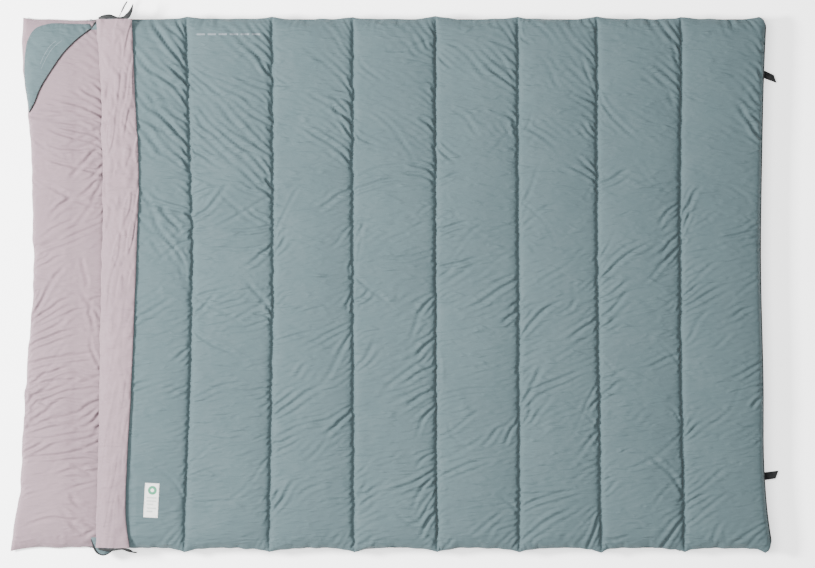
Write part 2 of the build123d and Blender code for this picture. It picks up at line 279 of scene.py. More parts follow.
# ---------------------------------------------------------------- creases and the quilted faces
def crease(sheets, x, y, centre, degrees, length, width, strength):
    """One narrow valley around a place, with the spare cloth that it takes up."""
    strain, ripple, valley = sheets
    (cx, cy), a, reach = centre, math.radians(degrees), 2.0 * length
    i0, i1 = np.searchsorted(x[:, 0], (cx - reach, cx + reach))
    j0, j1 = np.searchsorted(y[0], (cy - reach, cy + reach))
    px, py = x[i0:i1, j0:j1] - cx, y[i0:i1, j0:j1] - cy
    u, v = px * math.cos(a) + py * math.sin(a), py * math.cos(a) - px * math.sin(a)
    v = v + 0.16 * length * (u / length) ** 2 * math.sin(cx * 90) + 0.003 * np.sin(u / length * 3 + cx * 50)
    along = np.exp(-(u / length) ** 4)
    across = (v / width) ** 2
    here = strength * along * (1 - across) * np.exp(-across / 2)
    folds(strain[:, i0:i1, j0:j1], 0.22 * strength * along * np.exp(-across / 2), degrees)
    ripple[i0:i1, j0:j1] -= 0.0036 * here
    valley[i0:i1, j0:j1] += 0.0024 * here


def crease_group(sheets, x, y, seed, count, span_x, span_y, lie, spread, longest, strength):
    """Creases that lie much the same way, over part of a quilt."""
    rng = np.random.default_rng(seed)
    for _ in range(count):
        centre = rng.uniform(*span_x), rng.uniform(*span_y)
        crease(sheets, x, y, centre, rng.normal(lie, spread), longest * rng.uniform(0.5, 1),
               rng.uniform(0.005, 0.007), strength * rng.uniform(0.5, 1.2))


def lone_creases(sheets, x, y, rng, count, full):
    """Separate creases, each with its own place, length and lie, most of them running out from a seam.
    They run towards the foot and the left over most of the quilt, and towards the right near its left side."""
    for _ in range(count):
        cx, cy = rng.uniform(x.min(), x.max()), rng.uniform(-HALF, HALF)
        down = rng.uniform() < 0.12 + 0.75 * ease((cy - 0.15) / 0.35)
        degrees = rng.normal(-44, 15) if down else rng.normal(34, 20)
        length, width = rng.uniform(0.03, 0.10), rng.uniform(0.0045, 0.007)
        from_seam = rng.uniform() < 0.65
        if from_seam:
            seam = x[0, 0] + PITCH * round((cx - x[0, 0]) / PITCH)
            side = 1 if rng.uniform() < (0.25 if down else 0.5) else -1
            cx = seam + side * 0.9 * length * abs(math.cos(math.radians(degrees)))
        strength = full * rng.uniform(0.3, 1.4) * (1.0 if from_seam else 0.6)
        crease(sheets, x, y, (cx, cy), degrees, length, width, strength)


SLACK_DEPTH = 0.8  # share of the full depth that the stuffing holds before the cloth is pushed up
STRAIN_LIMITS, RIPPLE_LIMITS, VALLEY_LIMITS = (-0.11, 0.13), (-0.0055, 0.0040), (-0.0022, 0.0034)


def seam_shift(x1, y, first, channels, bows):
    """How far the seams wander along x: a slow bow for those that have one, and a slight wobble."""
    shift = np.zeros((len(x1), len(y)))
    for seam, (left, centre, right) in bows.items():
        near = np.clip(1 - np.abs(x1 - first - seam * PITCH) / PITCH, 0, 1)
        shift += near[:, None] * curve_through(-y, [-HALF, 0, HALF], [left, centre, right])[None, :]
    rng = np.random.default_rng(7)
    for seam in range(1, channels):
        wobble = 0.0016 * cloud(rng, y, 0 * y, 0.07) + 0.0008 * cloud(rng, y, 0 * y, 0.022)
        shift += np.exp(-np.abs(x1 - first - seam * PITCH) / 0.02)[:, None] * wobble[None, :]
    return shift


def quilted(first, channels, cells, rows, depth, seed, head, foot, proud=0.003, full=1.0, bows={}, middle=0.3,
            creases=38, groups=()):
    """One face of a channelled quilt over its stuffing: a (3, columns, rows) sheet, z measured outwards from the
    seams. full scales all its creases, and middle those away from the seams."""
    x1, across = channel_columns(first, channels, cells)
    x, y = np.meshgrid(x1, np.linspace(-HALF, HALF, rows), indexing="ij")
    f = across[:, None] + 0 * y
    to_left, to_right, to_side = f * PITCH, (1 - f) * PITCH, HALF - np.abs(y)
    rng = np.random.default_rng(seed)
    dx, dy = outline(x, y, head, foot)
    dx += seam_shift(x1, y[0], first, channels, bows)
    to_edge = np.minimum(to_side, np.minimum(x - x.min(), x.max() - x))
    rise = arch(f) * side_rise(y)
    start = np.stack([x + dx, y + dy, LIP * np.clip(to_edge / 0.008, 0, 1) + (SLACK_DEPTH * depth - LIP) * rise])
    upper, lower = ease((y - 0.12) / 0.4), ease((0.35 - y) / 0.3)
    patches = [np.clip(-0.2 + 1.6 * cloud(rng, x, y, size), 0, 1.8) * full
               for size in (0.12, 0.10, 0.16, 0.20, 0.16, 0.14)]
    strain = np.zeros_like(start)
    strain[0] += 0.003 + 0.07 * np.exp(-to_side / 0.025) * (0.4 + patches[0])
    strain[1] += (0.001 + 0.05 * np.exp(-to_left / 0.010) * patches[1]
                  + 0.06 * np.exp(-to_right / 0.016) * (0.2 + patches[0]))
    ripple = 0.0003 * cloud(rng, x, y, 0.025)
    left_fan, right_fan = np.exp(-to_right / 0.045), np.exp(-to_left / 0.035)
    for where, amount, wave, size, degrees in (
        (upper * left_fan * (0.5 + patches[0]), 0.14, 0.0022, 0.022, -54),
        (lower * left_fan * patches[1], 0.07, 0.0012, 0.024, 50),
        (right_fan * patches[2], 0.06, 0.0012, 0.024, 33),
        (lower * patches[3], 0.020, 0.0008, 0.034, 43),
        (lower * patches[5] * (0.4 + middle), 0.010, 0.0006, 0.050, 15),
        (upper * patches[4], 0.020, 0.0008, 0.040, -42),
        (patches[2] * patches[4] * middle, 0.01, 0.0006, 0.045, 4),
    ):
        folds(strain, amount * where, degrees)
        ripple += wave * where * cloud(rng, x, y, size, math.radians(degrees), 3.5)
    strain *= 0.8
    valley = np.zeros_like(x)
    sheets = strain, ripple, valley
    lone_creases(sheets, x, y, rng, creases * channels, full)
    for group in groups:
        crease_group(sheets, x, y, *group)
    strain, ripple = np.clip(strain, *STRAIN_LIMITS), np.clip(ripple, *RIPPLE_LIMITS)
    held = np.zeros(x.shape, bool)
    held[::cells, :] = True
    held[:, 0] = held[:, -1] = True
    cloth = simulate(start, np.stack([x, y]), strain, ripple, held, start[2] - 0.4 * depth,
                     np.minimum(start[2] + 0.010, depth + proud))
    from_seam = np.clip(np.minimum(to_edge, np.minimum(to_left, to_right)) / 0.008, 0, 1)
    cloth[2] -= np.clip(valley, *VALLEY_LIMITS) * from_seam
    return cloth


def height_on(cloth, x, y):
    """Height of a quilted sheet's top at places, read along the two rows of points beside each."""
    x, y = np.asarray(x, float), np.asarray(y, float)
    rows = cloth.shape[2]
    inside = np.abs(y) - 0.006 * np.exp(-(HALF - np.abs(y)) / 0.03)
    j = np.clip((np.sign(y) * inside + HALF) / (2 * HALF) * (rows - 1), 0, rows - 1.001)
    below = j.astype(int)
    z = np.zeros(x.shape)
    for row in np.unique(below):
        here = below == row
        a = np.interp(x[here], cloth[0, :, row], cloth[2, :, row])
        b = np.interp(x[here], cloth[0, :, row + 1], cloth[2, :, row + 1])
        z[here] = a + (b - a) * (j[here] - row)
    return z


# ---------------------------------------------------------------- finishes
class Finish:
    """A node material as it is made. Inputs are given by name, as numbers, colours or sockets."""

    def __init__(self, name):
        self.material = bpy.data.materials.new(name)
        self.material.use_nodes = True
        self.tree = self.material.node_tree
        self.where = self.node("TexCoord", "Object")

    def fill(self, made, inputs):
        for key, value in inputs.items():
            if isinstance(value, bpy.types.NodeSocket):
                self.tree.links.new(value, made.inputs[key])
            else:
                made.inputs[key].default_value = value

    def node(self, kind, output, inputs={}, **settings):
        """Adds a node and gives its output."""
        made = self.tree.nodes.new("ShaderNode" + kind)
        made.location.x = -200 * len(self.tree.nodes)
        for key, value in settings.items():
            setattr(made, key, value)
        self.fill(made, inputs)
        return made.outputs[output]

    def scaled(self, size, turn=(0, 0, 0)):
        return self.node("Mapping", "Vector", {"Vector": self.where, "Scale": size, "Rotation": turn})

    def noise(self, scale, detail, rough, where=None, distortion=0.0, kind="FBM"):
        return self.node("TexNoise", "Fac", {"Vector": where or self.where, "Scale": scale, "Detail": detail,
                                             "Roughness": rough, "Distortion": distortion}, noise_type=kind)

    def stripes(self, where, scale, distortion=0.0, more={}, direction="X"):
        inputs = {"Vector": where, "Scale": scale, "Distortion": distortion, **more}
        return self.node("TexWave", "Fac", inputs, bands_direction=direction)

    def span(self, value, low, high, from_low=0.3, from_high=0.7):
        return self.node("MapRange", "Result", {"Value": value, "From Min": from_low, "From Max": from_high,
                                                "To Min": low, "To Max": high})

    def mixed(self, share, a, b, blend="MIX"):
        return self.node("Mix", 2, {0: share, 6: a, 7: b}, data_type="RGBA", blend_type=blend)

    def bump(self, height, strength, distance, before=None):
        inputs = {"Height": height, "Strength": strength, "Distance": distance}
        if before is not None:
            inputs["Normal"] = before
        return self.node("Bump", "Normal", inputs)

    def weave(self, pitch, depth, strength, before):
        """A plain weave of that thread pitch: warp and weft waves multiplied."""
        fine = {"Detail": 1.0, "Detail Scale": 0.4}
        waves = [self.stripes(self.scaled((1, 1, 1)), math.pi / (10 * pitch), 0.6, fine, way) for way in "XY"]
        height = self.node("Math", 0, dict(enumerate(waves)), operation="MULTIPLY")
        return self.bump(height, strength, depth, before)

    def done(self, **inputs):
        """Gives the material, with the shader's inputs named with _ for a space."""
        self.fill(self.tree.nodes["Principled BSDF"], {key.replace("_", " "): v for key, v in inputs.items()})
        return self.material


def cloth_finish(name, colour, shade, pitch=0.0007, sheen=0.25, rough=0.78, crinkle=1.0):
    """Washed polyester shell cloth: fine weave, soft crinkles, slight patchy shade and sheen."""
    made = Finish(name)
    plain = made.mixed(made.span(made.noise(5.0, 4, 0.6), 0.0, 1.0), (*shade, 1), (*colour, 1))
    speckle = made.span(made.noise(420.0, 2, 0.6), 0.94, 1.05)
    relief = None
    for degrees, scale, depth in ((-40, 16.0, 0.0042), (52, 21.0, 0.0026), (-12, 34.0, 0.0010)):
        drawn = made.scaled((1.0, 3.2, 1.0), (0, 0, math.radians(degrees)))
        creases = made.noise(scale, 3, 0.5, drawn, 0.6, "RIDGED_MULTIFRACTAL")
        relief = made.bump(creases, crinkle, depth, relief)
    relief = made.bump(made.noise(130.0, 3, 0.6), 0.35, 0.0006, relief)
    return made.done(
        Base_Color=made.mixed(1.0, plain, speckle, "MULTIPLY"),
        Roughness=made.span(made.noise(14.0, 3, 0.6), rough - 0.07, rough + 0.07),
        Sheen_Weight=sheen, Sheen_Roughness=0.45, Sheen_Tint=(*[min(1, 0.5 + c) for c in colour], 1),
        Specular_IOR_Level=0.3, Normal=made.weave(pitch, 0.00012, 0.5, relief))


def woven_band(name, colour, pitch, rib=0.0016, rough=0.6):
    """Narrow woven tape or webbing: a diagonal twill rib under the weave."""
    made = Finish(name)
    worn = made.span(made.noise(60.0, 4, 0.6), 0.0, 1.0)
    light = tuple(min(1.0, c * 1.7 + 0.003) for c in colour)
    ribs = made.stripes(made.scaled((1, 1, 1), (0.6, 0.6, 0.8)), math.pi / (10 * rib), 1.0)
    return made.done(
        Base_Color=made.mixed(worn, (*colour, 1), (*light, 1)),
        Roughness=made.span(made.noise(90.0, 2, 0.5), rough - 0.1, rough + 0.15),
        Sheen_Weight=0.04, Specular_IOR_Level=0.25,
        Normal=made.weave(pitch, 0.00015, 0.6, made.bump(ribs, 0.6, 0.0003)))


def thread_finish(name, colour):
    """Sewing thread: a light fuzz, and its twist as a fine slanting wave."""
    made = Finish(name)
    fuzz = made.span(made.noise(700.0, 2, 0.6), 0.75, 1.25)
    twist = made.stripes(made.scaled((1, 1, 1), (0.3, 0.5, 0.9)), 900)
    return made.done(Base_Color=made.mixed(1.0, (*colour, 1), fuzz, "MULTIPLY"), Roughness=0.6, Sheen_Weight=0.4,
                     Normal=made.bump(twist, 0.5, 0.0002))


def hard_finish(name, colour, metallic, rough, grain=300.0, dent=0.00008):
    """Painted die-cast metal or moulded plastic, with faint mould grain and handling wear."""
    made = Finish(name)
    wear = made.span(made.noise(120.0, 5, 0.65), 0.0, 1.0, 0.45, 0.75)
    light = tuple(min(1.0, c * 2.2 + 0.03) for c in colour)
    return made.done(
        Base_Color=made.mixed(wear, (*colour, 1), (*light, 1)), Metallic=metallic,
        Roughness=made.span(made.noise(200.0, 3, 0.6), rough - 0.08, rough + 0.12),
        Normal=made.bump(made.noise(grain, 3, 0.6), 0.5, dent))


TEAL = cloth_finish("teal shell cloth", (0.053, 0.083, 0.090), (0.046, 0.073, 0.080))
PINK = cloth_finish("pink lining cloth", (0.195, 0.138, 0.156), (0.175, 0.124, 0.142), 0.0006, 0.3, 0.82, 0.8)
TEAL_THREAD = thread_finish("teal thread", (0.040, 0.058, 0.064))
PINK_THREAD = thread_finish("pink thread", (0.24, 0.18, 0.20))
TAPE = woven_band("charcoal zip tape", (0.0060, 0.0068, 0.0072), 0.0006)
WEBBING = woven_band("black webbing", (0.004, 0.0045, 0.005), 0.0009, 0.0022)
COIL = hard_finish("zip coil nylon", (0.010, 0.012, 0.013), 0.0, 0.38)
METAL = hard_finish("zip gunmetal", (0.045, 0.048, 0.052), 0.9, 0.42)
GRIP = hard_finish("grip plastic", (0.008, 0.009, 0.010), 0.0, 0.5, 500.0, 0.0001)
LABEL = cloth_finish("label satin", (0.66, 0.66, 0.63), (0.60, 0.61, 0.58), 0.0004, 0.1, 0.45, 0.15)
GREEN = cloth_finish("label green", (0.035, 0.23, 0.12), (0.028, 0.19, 0.10), 0.0004, 0.1, 0.5, 0.1)
GREY_PRINT = cloth_finish("label grey print", (0.42, 0.45, 0.42), (0.38, 0.41, 0.39), 0.0004, 0.1, 0.5, 0.1)
PALE_PRINT = cloth_finish("pale print", (0.125, 0.150, 0.165), (0.105, 0.130, 0.145), 0.0006, 0.1, 0.6, 0.2)


# ---------------------------------------------------------------- small shapes
def unit(vectors):
    return vectors / np.maximum(np.linalg.norm(vectors, axis=-1, keepdims=True), 1e-9)


def along_of(path):
    return unit(np.gradient(path, axis=0))


def runs_of(points):
    """Length along a line of points, at each of them."""
    return np.concatenate([[0], np.cumsum(np.linalg.norm(np.diff(points, axis=0), axis=1))])


def columns(*parts):
    """An (n, 3) array of points from x, y and z, each a number or n of them."""
    return np.stack(np.broadcast_arrays(*parts), axis=1).astype(float)


def sweep(name, rings, material):
    """A closed tube from a (stations, points, 3) array of rings."""
    stations, count = rings.shape[:2]
    index = np.arange(stations * count).reshape(stations, count)
    faces = [(index[i, j], index[i + 1, j], index[i + 1, (j + 1) % count], index[i, (j + 1) % count])
             for i in range(stations - 1) for j in range(count)]
    faces += [tuple(index[0]), tuple(index[-1][::-1])]
    return mesh_piece(name, rings.reshape(-1, 3), faces, material)


def tube(name, path, radius, material, sides=12):
    """A round tube along points, its radius a number or one for each point."""
    path = np.asarray(path, float)
    radius = np.broadcast_to(np.asarray(radius, float), (len(path),))
    along = along_of(path)
    across = unit(np.cross(along, UP))
    over = np.cross(across, along)
    angle = np.linspace(0, 2 * math.pi, sides, endpoint=False)
    ring = (path[:, None] + radius[:, None, None] * (np.cos(angle)[None, :, None] * across[:, None]
            + np.sin(angle)[None, :, None] * over[:, None]))
    return sweep(name, ring, material)


def ribbon(name, path, wide, thick, material):
    """A flat strip along points. wide and thick are half its width and half its thickness at each point, as
    vectors."""
    path, wide, thick = (np.asarray(v, float) for v in (path, wide, thick))
    ring = np.stack([path + wide + thick, path - wide + thick, path - wide - thick, path + wide - thick], axis=1)
    made = sweep(name, ring, material)
    bevel = made.modifiers.new("rounded", "BEVEL")
    bevel.width = float(np.linalg.norm(thick[0])) * 0.6
    bevel.segments = 2
    return made


def repeated(name, shape, faces, places, frames, material):
    """Many copies of a small shape in one mesh: places (n, 3), and frames (n, 3, 3) whose rows are its axes."""
    shape, places, frames = np.asarray(shape), np.asarray(places), np.asarray(frames)
    points = np.einsum("vk,nkc->nvc", shape, frames) + places[:, None]
    count = len(shape)
    firsts = (np.arange(len(places)) * count)[:, None, None]
    all_faces = (np.asarray(faces)[None] + firsts).reshape(-1, len(faces[0]))
    return mesh_piece(name, points.reshape(-1, 3), all_faces.tolist(), material)


def capsule(length, radius, sides=6):
    """A stitch's shape, along its first axis: points and four-sided faces."""
    stations = [(-0.5, 0.25), (-0.38, 0.8), (0.0, 1.0), (0.38, 0.8), (0.5, 0.25)]
    points, faces = [], []
    for place, share in stations:
        for k in range(sides):
            a = 2 * math.pi * k / sides
            points.append((place * length, radius * share * math.cos(a), radius * share * math.sin(a)))
    for i in range(len(stations) - 1):
        for k in range(sides):
            n = (k + 1) % sides
            faces.append((i * sides + k, i * sides + n, (i + 1) * sides + n, (i + 1) * sides + k))
    return points, faces


def stitches(name, lines, material, length=0.0042, gap=0.0016, radius=0.0005):
    """Running stitches along each line of points."""
    places, frames = [], []
    for line in lines:
        line = np.asarray(line)
        run = runs_of(line)
        at = np.arange(length, run[-1] - length, length + gap)
        here, ahead = (columns(*(np.interp(place, run, part) for part in line.T)) for place in (at, at + 0.001))
        forward = unit(ahead - here)
        side = unit(np.cross(UP, forward))
        places.append(here)
        frames.append(np.stack([forward, side, np.cross(forward, side)], axis=1))
    points, faces = capsule(length, radius)
    return repeated(name, points, faces, np.concatenate(places), np.concatenate(frames), material)


def stand_for(piece, nodes):
    if nodes:
        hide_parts(*nodes)
    return piece


def ride(piece, body, slot, *nodes):
    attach(piece, body)
    return stand_for(piece, nodes)


def fold_with_cover(piece, slot, *nodes):
    """Bakes the piece's placement into its mesh and hides the CAD nodes that it stands for; the piece is not bent
    where the cover folds back at its middle seam.
    """
    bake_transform(piece)
    return stand_for(piece, nodes)


def turn_with_cuff(piece, slot, *nodes):
    """Bakes the piece's placement into its mesh and hides the CAD nodes that it stands for; the piece does not
    open where the cuff turns back.
    """
    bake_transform(piece)
    return stand_for(piece, nodes)


def middle_of(name):
    """Middle of a CAD node's box."""
    return (np.array(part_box(name)[0]) + np.array(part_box(name)[1])) / 2


def foot_inset(y, z):
    """How far the foot band is drawn in beside the webbing loops sewn into it."""
    beside = 0
    for side in SIDES:
        beside = beside + 1 - ease((np.abs(y - middle_of("hanging_loop_" + side)[1]) - 0.03) / 0.04)
    return 0.0062 * np.sin(np.clip((z - BASE_SEAM) / (COVER_SEAM - BASE_SEAM), 0, 1) * math.pi) * beside


def inside_edges(sheet):
    """Keeps a lining's sides behind the zip's tape, and its foot behind the foot band."""
    limit = 0.8132 + 0.02 * (1 - ease((sheet[0] - COVER_X) / 0.05))
    sheet[1] = np.clip(sheet[1], -limit, limit)
    sheet[0] = np.minimum(sheet[0], FOOT_X - 0.0008 + foot_line(sheet[1]) - foot_inset(sheet[1], sheet[2]))
    return sheet


def placed(sheet, seam_z, sign):
    sheet[2] = seam_z + sign * sheet[2]
    return sheet


# ---------------------------------------------------------------- the two quilts
# groups of creases: seed, number, reach in x, reach in y, degrees, their spread, longest half length, strength
IN_FIRST_CHANNEL = (71, 20, (COVER_X + 0.13, COVER_X + 0.245), (0.05, 0.78), -53, 8, 0.095, 1.25)
IN_SECOND_CHANNEL = (72, 14, (COVER_X + 0.27, COVER_X + 0.50), (0.20, 0.78), -42, 9, 0.090, 1.0)
ACROSS_HEAD = (73, 34, (HEAD_X + 0.03, HEAD_X + 0.22), (-0.78, 0.60), 6, 14, 0.110, 1.5)
BESIDE_CUFF = (74, 26, (HEAD_X + 0.16, HEAD_X + 0.235), (-0.78, 0.62), -22, 32, 0.065, 1.5)
COVER_UNDER_CUFF, BASE_UNDER_CUFF = 0.0815, 0.0352  # highest each may be where the cuff lies on it
cover_top = placed(quilted(COVER_X, 8, CELLS, ROWS, COVER_CROWN - COVER_SEAM, 11, straight, foot_line, 0.004,
                           bows=SEAM_BOW, groups=(IN_FIRST_CHANNEL, IN_SECOND_CHANNEL)), COVER_SEAM, 1)
under_cuff = cover_top[0] < COVER_X + 0.088
cover_top[2] = np.where(under_cuff, np.minimum(cover_top[2], COVER_UNDER_CUFF), cover_top[2])
cover_under = placed(quilted(COVER_X, 8, INNER_CELLS, INNER_ROWS, COVER_SEAM - COVER_LOW, 12, straight, foot_line,
                             0.001, 0.7, SEAM_BOW), COVER_SEAM, -1)
base_head = placed(quilted(HEAD_X, 1, HEAD_CELLS, ROWS, BASE_CROWN - BASE_SEAM, 23, head_line, straight, 0.006,
                           middle=1.6, creases=60, groups=(ACROSS_HEAD, BESIDE_CUFF)), BASE_SEAM, 1)
pressed = 1 - 0.12 * ease((base_head[0] - COVER_X + 0.13) / 0.05)
base_head[2] = BASE_SEAM + (base_head[2] - BASE_SEAM) * pressed
under_cuff = base_head[0] > COVER_X - 0.10
base_head[2] = np.where(under_cuff, np.minimum(base_head[2], BASE_UNDER_CUFF), base_head[2])
base_top = placed(quilted(HEAD_X + PITCH, 8, INNER_CELLS, INNER_ROWS, BASE_CROWN - BASE_SEAM, 14, straight,
                          foot_line, 0.002, 0.7), BASE_SEAM, 1)
base_under = placed(quilted(HEAD_X, 9, UNDER_CELLS, UNDER_ROWS, BASE_SEAM + 0.004, 15, head_line, foot_line, 0.0,
                            0.7), BASE_SEAM, -1)
base_under[2] = np.maximum(base_under[2], 0.0)
cover_under, base_top = inside_edges(cover_under), inside_edges(base_top)


def cover_half(name, sheet, material, slot, *nodes):
    flip = material is PINK
    fold_with_cover(grid_piece(name, sheet, material, flip), slot, *nodes)


half = 4 * CELLS
fills = ["cover_fill_%d" % k for k in range(1, 9)]
cover_half("cover_head_top", cover_top[:, :half + 1], TEAL, "teal_shell", "cover_head_shell", *fills[:4])
cover_half("cover_foot_top", cover_top[:, half:], TEAL, "teal_shell", "cover_foot_shell", *fills[4:])
half = 4 * INNER_CELLS
cover_half("cover_head_underside", cover_under[:, :half + 1], PINK, "pink_lining", "cover_head_lining")
cover_half("cover_foot_underside", cover_under[:, half:], PINK, "pink_lining", "cover_foot_lining")
fills = ["base_fill_%d" % k for k in range(1, 10)]
piece = grid_piece("base_head_lining", base_head, PINK)
ride(piece, "base_quilt", "pink_lining", "base_lining", *fills)
ride(grid_piece("base_body_lining", base_top, PINK), "base_quilt", "pink_lining")
piece = grid_piece("base_underside", base_under, TEAL, True)
ride(piece, "base_quilt", "teal_shell", "base_shell")


def seam_line(sheet, column, lift):
    """The middle of a seam, just proud of the cloth."""
    line = sheet[:, column, 4:-4].T.copy()
    line[:, 2] += lift
    return line


def seam_lines(sheet, cells, seams, lift):
    return [seam_line(sheet, cells * k, lift) for k in seams]


def cover_seams(seams):
    return seam_lines(cover_top, CELLS, seams, 0.0002) + seam_lines(cover_under, INNER_CELLS, seams, -0.0002)


piece = stitches("cover_head_stitching", cover_seams((1, 2, 3)), TEAL_THREAD)
ride(piece, "cover_head", "thread", "cover_head_thread")
piece = stitches("cover_foot_stitching", cover_seams((5, 6, 7)), TEAL_THREAD)
ride(piece, "base_quilt", "thread", "cover_foot_thread")
fold_with_cover(stitches("fold_seam_stitching", cover_seams((4,)), TEAL_THREAD), "thread")
lines = [seam_line(base_head, HEAD_CELLS, 0.0006)] + seam_lines(base_top, INNER_CELLS, range(1, 8), 0.0002)
ride(stitches("base_stitching", lines, PINK_THREAD), "base_quilt", "thread", "base_thread")
lines = seam_lines(base_under, UNDER_CELLS, range(1, 9), -0.0002)
ride(stitches("base_underside_stitching", lines, TEAL_THREAD), "base_quilt", "thread")


# ---------------------------------------------------------------- the foot's bound edge
def foot_gusset():
    """The bound band that joins base and cover at the foot, swelling slightly between them."""
    yy, uu = np.meshgrid(np.linspace(-HALF, HALF, 240), np.linspace(0, 1, 13), indexing="ij")
    rng = np.random.default_rng(31)
    zz = BASE_SEAM + (COVER_SEAM - BASE_SEAM) * uu
    swell = 0.0026 * np.sin(uu * math.pi) * (1 + 0.5 * cloud(rng, yy, uu, 0.07)) - 1.2 * foot_inset(yy, zz)
    x = FOOT_X + foot_line(yy) + swell + 0.0005 + 0.0004 * cloud(rng, yy, uu * 0.05, 0.03)
    return grid_piece("foot_edge_band", np.stack([x, yy, zz]), TEAL)


band = ride(foot_gusset(), "base_quilt", "zip_tape", "foot_binding")
y = np.linspace(-HALF + 0.003, HALF - 0.003, 240)
for name, z in (("foot_piping_upper", COVER_SEAM), ("foot_piping_lower", BASE_SEAM)):
    path = np.stack([FOOT_X + foot_line(y) + 0.0008, y, np.full_like(y, z)], axis=1)
    ride(tube(name, path, 0.0016, TAPE, 8), "base_quilt", "zip_tape")


# ---------------------------------------------------------------- the cuff
def cuff_fold(y):
    return curve_through(y, [-0.815, -0.70, -0.60, -0.36, 0.0, 0.18, 0.37, 0.60, 0.815],
                         [-0.010, -0.008, -0.005, 0.000, 0.006, 0.010, 0.010, 0.005, -0.010])


def cuff_free(y):
    return curve_through(y, [-0.815, -0.73, -0.56, -0.36, 0.0, 0.17, 0.30, 0.60, 0.815],
                         [-0.010, -0.021, -0.018, -0.007, 0.008, 0.014, 0.018, 0.006, -0.003])


def cuff_sheet(profile, count, rows, wrinkle, seed):
    """A (3, count, rows) sheet swept along the cuff. profile runs from the free edge, each place as x, z and its
    share of that edge's shift; wrinkle is the height of its folds."""
    profile = np.array(profile)
    knots = np.linspace(0, 1, len(profile))
    t = np.linspace(0, 1, count)
    x, z, free = (curve_through(t, knots, profile[:, k]) for k in range(3))
    free = np.clip(free, 0, 1)
    y = np.linspace(-HALF, HALF, rows)
    run = np.concatenate([[0], np.cumsum(np.hypot(np.diff(x), np.diff(z)))])
    rr, yy = np.meshgrid(run, y, indexing="ij")
    rng = np.random.default_rng(seed)
    crumpled = 0.35 + 0.75 * ease((yy + 0.15) / 0.5)
    streaks = cloud(rng, rr, yy, 0.034, math.pi / 2 + 0.10, 6)
    long_folds, creased = np.abs(streaks) - 0.5, np.exp(-((streaks - 0.6) / 0.35) ** 2)
    short_folds = np.abs(cloud(rng, rr, yy, 0.040, math.pi / 2 - 0.5, 2.2)) - 0.5
    cross = cloud(rng, rr, yy, 0.06) * 0.4
    fade = np.clip(np.minimum(rr, run[-1] - rr) / 0.012, 0, 1)
    lift = wrinkle * fade * ((long_folds + 0.7 * short_folds + 0.9 * creased) * crumpled + cross)
    lift = np.minimum(lift, 0.0012)
    nx, nz = -np.gradient(z, run), np.gradient(x, run)
    size = np.hypot(nx, nz)
    shift = free[:, None] * cuff_free(yy) + (1 - free[:, None]) * cuff_fold(yy)
    shift *= np.clip(rr[-1, 0] - rr, 0, 0.012) / 0.012
    nx, nz = (nx / size)[:, None], (nz / size)[:, None]
    return np.stack([x[:, None] + shift + nx * lift, yy, z[:, None] + nz * lift])


FACING = [(-0.8040, 0.0880, 1), (-0.8010, 0.0905, 1), (-0.8080, 0.0940, 1), (-0.8350, 0.0935, 0.8),
          (-0.8700, 0.0885, 0.4), (-0.8930, 0.0800, 0), (-0.9050, 0.0705, 0), (-0.9058, 0.0620, 0),
          (-0.8990, 0.0570, 0), (-0.8890, 0.0595, 0)]
BACKING = [(-0.8040, 0.0880, 1), (-0.8300, 0.0868, 0.7), (-0.8600, 0.0828, 0.3), (-0.8840, 0.0745, 0),
           (-0.8882, 0.0692, 0), (-0.8888, 0.0652, 0)]


facing = cuff_sheet(FACING, 120, 480, -0.0030, 41)
backing = cuff_sheet(BACKING, 26, 200, 0.0006, 42)
piece = grid_piece("cuff_pink_side", facing, PINK, True)
turn_with_cuff(piece, "pink_lining", "cuff_facing", "cuff_wadding")
turn_with_cuff(grid_piece("cuff_teal_side", backing, TEAL), "teal_shell", "cuff_shell")


def cuff_end(name, row):
    """The sewn end of the cuff, a narrow gusset between its two sides."""
    a, b = facing[:, :, row].T, backing[:, ::-1, row].T
    loop = np.concatenate([a, b[1:-1]])
    centre = loop.mean(axis=0) + (0, 0.0015 * np.sign(loop[0, 1]), 0)
    points = np.concatenate([loop, [centre]])
    n = len(loop)
    return mesh_piece(name, points, [(k, (k + 1) % n, n) for k in range(n)], TEAL)


for name, row in (("cuff_end_left", -1), ("cuff_end_right", 0)):
    turn_with_cuff(cuff_end(name, row), "teal_shell")


# ---------------------------------------------------------------- the zips
TAPE_Y = 0.815  # the plane of the zip's tapes


def zip_band(name, body, *nodes):
    """Woven tape on edge, in the plane of the zip, where the CAD tape is."""
    low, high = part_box(nodes[0])
    side = 1 if low[1] > 0 else -1
    x = np.linspace(low[0], high[0], max(4, int((high[0] - low[0]) / 0.006)))
    z = np.linspace(low[2], high[2], 6)
    xx, zz = np.meshgrid(x, z, indexing="ij")
    rng = np.random.default_rng(51)
    yy = side * TAPE_Y + 0.0004 * cloud(rng, xx, zz, 0.06)
    made = ride(grid_piece(name, np.stack([xx, yy, zz]), TAPE, side > 0), body, "zip_tape", *nodes)
    sewn_z = low[2] + 0.006 if low[2] < BASE_CROWN else high[2] - 0.006
    sewn = columns(x, side * (TAPE_Y + 0.0007), sewn_z)
    ride(stitches(name + "_stitching", [sewn], TEAL_THREAD, 0.003, 0.0012, 0.0004), body, "thread")


